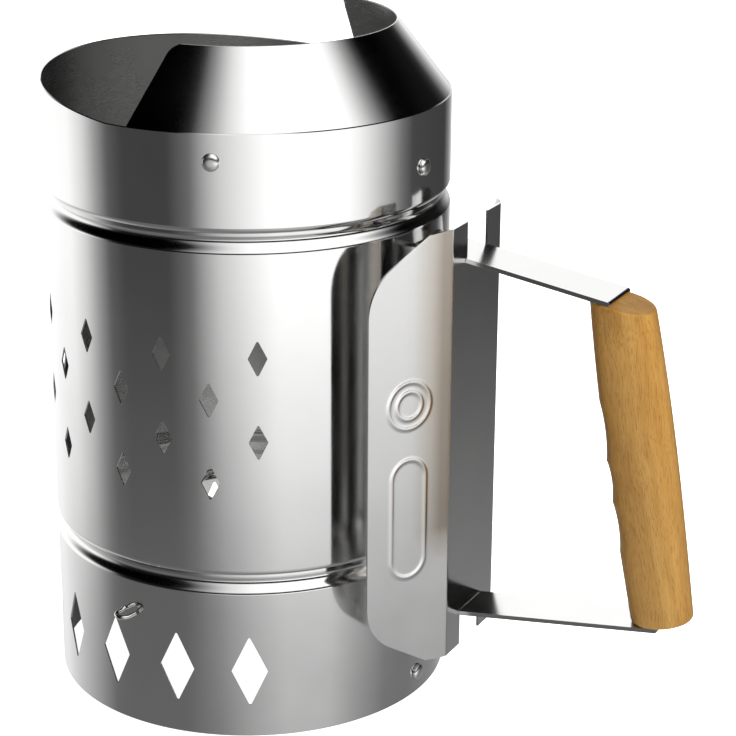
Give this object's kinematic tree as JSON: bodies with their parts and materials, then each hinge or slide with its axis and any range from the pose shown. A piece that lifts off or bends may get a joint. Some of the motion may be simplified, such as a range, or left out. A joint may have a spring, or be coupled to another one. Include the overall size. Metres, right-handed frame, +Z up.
{
  "type": "chimney charcoal starter",
  "caption": "Vented sheet-steel chimney for lighting charcoal, with a pouring hood, an inner wire grate, a bent heat shield and a wooden grip on two straps.",
  "frame": {"origin": "on the tube's axis, at the plane that the tube stands on", "axes": "+Z up along the tube's axis, +X from the axis to the grip"},
  "size_m": [0.3326, 0.2062, 0.3195],
  "materials": {
    "galvanised": "smooth, bright, rolled sheet",
    "strap_steel": "smooth, bright flat bar",
    "zinc": "bright zinc plate",
    "wire": "drawn wire",
    "hardwood": "oiled, straight grain along the grip"
  },
  "bodies": {
    "root": {"body_shell": "galvanised", "pouring_hood": "galvanised", "hood_rivets": "zinc", "seam_rivet": "zinc", "heat_shield": "galvanised", "upper_strap": "strap_steel", "lower_strap": "strap_steel", "strap_rivets": "zinc", "grip": "hardwood", "grip_screw": "zinc", "screw_washer": "zinc", "cross_wire_lower": "wire", "cross_wire_upper": "wire", "grate_ring_1": "wire", "grate_ring_2": "wire", "grate_ring_3": "wire", "grate_ring_4": "wire", "grate_ring_5": "wire"}
  },
  "joints": []
}
